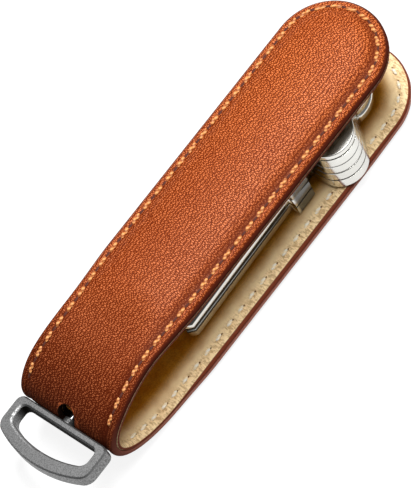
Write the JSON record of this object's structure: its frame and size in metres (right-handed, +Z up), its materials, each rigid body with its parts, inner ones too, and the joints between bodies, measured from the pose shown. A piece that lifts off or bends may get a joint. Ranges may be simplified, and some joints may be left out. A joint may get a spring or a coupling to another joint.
{
  "type": "key organizer",
  "caption": "Folded padded leather strap that holds a stack of keys on a screw post, with a lifting flap and a swivel D-ring at the fold.",
  "frame": {"origin": "where the key post's axis meets the flat underside of the case", "axes": "+X from the fold and its D-ring towards the open round ends, +Z up through the key stack to the flap"},
  "size_m": [0.1046, 0.0254, 0.0224],
  "materials": {
    "leather": "pebbled, satin",
    "lining": "smooth, satin",
    "foam": "matte foam",
    "board": "matte fibre board",
    "magnet": "plated magnet",
    "steel": "plain steel",
    "nylon": "matte",
    "nickel": "polished nickel plate",
    "ring": "bead-blasted, matte"
  },
  "bodies": {
    "case": {"outer_leather_base": "leather", "lining_base": "lining", "base_board": "board", "key_post": "steel", "post_screw": "steel", "lower_washer": "nylon", "upper_washer": "nylon", "ring_anchor_bar": "steel"},
    "flap": {"outer_leather_flap": "leather", "lining_flap": "lining", "flap_board": "board", "flap_foam_pad": "foam", "closure_magnet": "magnet"},
    "ring": {"d_ring": "ring", "ring_swivel_pin": "steel"},
    "key_body_1": {"key_1": "nickel"},
    "key_body_2": {"key_2": "nickel"},
    "key_body_3": {"key_3": "nickel"},
    "key_body_4": {"key_4": "nickel"},
    "key_body_5": {"key_5": "nickel"}
  },
  "joints": [
    {"name": "flap_hinge", "type": "hinge", "parent": "case", "child": "flap", "pos_m": [-0.0652, 0, 0.02035], "axis": [0, -1, 0], "range_deg": [0, 70]},
    {"name": "ring_swivel", "type": "hinge", "parent": "case", "child": "ring", "pos_m": [-0.0835, 0, 0.01057], "axis": [1, 0, 0], "continuous": true},
    {"name": "key_1_pivot", "type": "hinge", "parent": "case", "child": "key_body_1", "pos_m": [0, 0, 0.00385], "axis": [0, 0, 1], "continuous": true},
    {"name": "key_2_pivot", "type": "hinge", "parent": "case", "child": "key_body_2", "pos_m": [0, 0, 0.00665], "axis": [0, 0, 1], "continuous": true},
    {"name": "key_3_pivot", "type": "hinge", "parent": "case", "child": "key_body_3", "pos_m": [0, 0, 0.00945], "axis": [0, 0, 1], "continuous": true},
    {"name": "key_4_pivot", "type": "hinge", "parent": "case", "child": "key_body_4", "pos_m": [0, 0, 0.01225], "axis": [0, 0, 1], "continuous": true},
    {"name": "key_5_pivot", "type": "hinge", "parent": "case", "child": "key_body_5", "pos_m": [0, 0, 0.01505], "axis": [0, 0, 1], "continuous": true}
  ]
}
